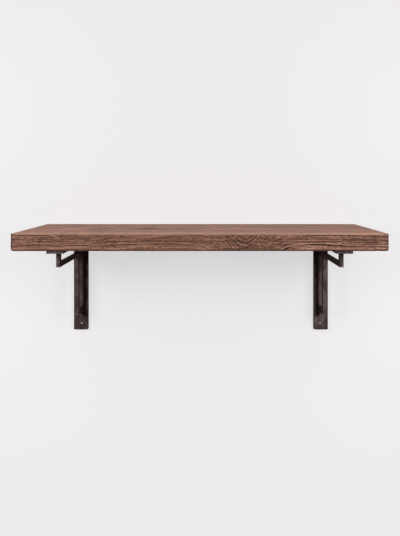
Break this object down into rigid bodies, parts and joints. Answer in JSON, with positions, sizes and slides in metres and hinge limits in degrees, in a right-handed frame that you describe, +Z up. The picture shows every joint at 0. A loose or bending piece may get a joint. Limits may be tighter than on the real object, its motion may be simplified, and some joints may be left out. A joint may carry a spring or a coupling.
{
  "type": "bracketed wall shelf",
  "caption": "Thick solid wood plank with eased arrises on welded flat-bar steel brackets, each with a slim inner rail and screw holes for the wall.",
  "frame": {"origin": "centre of the rectangle of the four wall-screw holes, on the wall plane", "axes": "+Z up, +X to the right along the plank, +Y into the wall; the wall is the plane y = 0 and the shelf is in front of it, at y <= 0"},
  "size_m": [0.914, 0.254, 0.311],
  "materials": {
    "oiled_wood": "stained and oiled solid wood, matte, with the grain showing",
    "blackened_steel": "blackened mild steel bar, satin, mottled mill scale",
    "weld_metal": "blackened weld bead, rippled, satin",
    "screw_steel": "black-oxide screw steel, satin"
  },
  "bodies": {
    "root": {"plank": "oiled_wood", "left_arm": "blackened_steel", "left_wall_plate": "blackened_steel", "left_rail_drop": "blackened_steel", "left_rail_run": "blackened_steel", "left_rail_post": "blackened_steel", "left_rail_foot": "blackened_steel", "left_corner_weld": "weld_metal", "left_drop_weld": "weld_metal", "left_front_elbow_weld": "weld_metal", "left_rear_elbow_weld": "weld_metal", "left_foot_elbow_weld": "weld_metal", "left_foot_weld": "weld_metal", "left_plank_screws": "screw_steel", "right_arm": "blackened_steel", "right_wall_plate": "blackened_steel", "right_rail_drop": "blackened_steel", "right_rail_run": "blackened_steel", "right_rail_post": "blackened_steel", "right_rail_foot": "blackened_steel", "right_corner_weld": "weld_metal", "right_drop_weld": "weld_metal", "right_front_elbow_weld": "weld_metal", "right_rear_elbow_weld": "weld_metal", "right_foot_elbow_weld": "weld_metal", "right_foot_weld": "weld_metal", "right_plank_screws": "screw_steel"}
  },
  "joints": []
}
